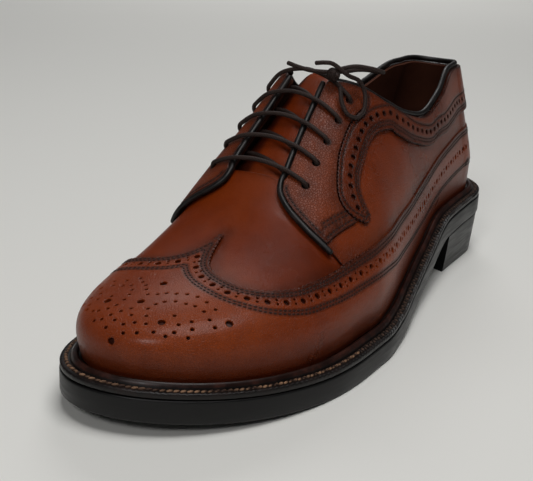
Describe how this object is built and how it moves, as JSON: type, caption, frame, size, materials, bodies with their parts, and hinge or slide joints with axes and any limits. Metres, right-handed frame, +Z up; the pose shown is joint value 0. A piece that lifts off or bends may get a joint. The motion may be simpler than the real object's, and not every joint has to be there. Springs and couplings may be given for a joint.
{
  "type": "longwing brogue shoe",
  "caption": "Open-laced longwing shoe for the left foot: hollow leather upper with punched wing overlays on a storm welt, flat leather sole and block heel, laced and tied.",
  "frame": {"origin": "bottom centre of the shoe's bounding box, on the floor under the waist", "axes": "+X to the toe, +Y to the outer side of the left foot, +Z up"},
  "size_m": [0.306, 0.1084, 0.1188],
  "materials": {
    "leather_calf": "burnished calf, soft gloss",
    "leather_grained": "grained calf, soft gloss",
    "leather_edge": "dark edge dressing",
    "sole_black": "satin black edge ink",
    "welt_leather": "dark waxed leather",
    "insole_leather": "plain leather",
    "lace_cotton": "waxed round lace"
  },
  "bodies": {
    "root": {"outsole": "sole_black", "heel": "sole_black", "storm_welt": "welt_leather", "insole": "insole_leather", "upper": "leather_calf", "long_wing": "leather_calf", "quarter_lateral": "leather_calf", "quarter_medial": "leather_calf", "facing_lateral": "leather_grained", "facing_medial": "leather_grained", "tongue": "leather_calf", "collar_binding": "leather_edge", "edge_piping_lateral": "leather_edge", "edge_piping_medial": "leather_edge", "lace_bar_1": "lace_cotton", "lace_bar_2": "lace_cotton", "lace_bar_3": "lace_cotton", "lace_bar_4": "lace_cotton", "lace_bar_5": "lace_cotton", "lace_under_1": "lace_cotton", "lace_under_2": "lace_cotton", "lace_under_3": "lace_cotton", "lace_under_4": "lace_cotton", "lace_knot": "lace_cotton", "lace_loop_outer": "lace_cotton", "lace_loop_rear": "lace_cotton", "lace_end_inner": "lace_cotton", "lace_end_outer": "lace_cotton"}
  },
  "joints": []
}
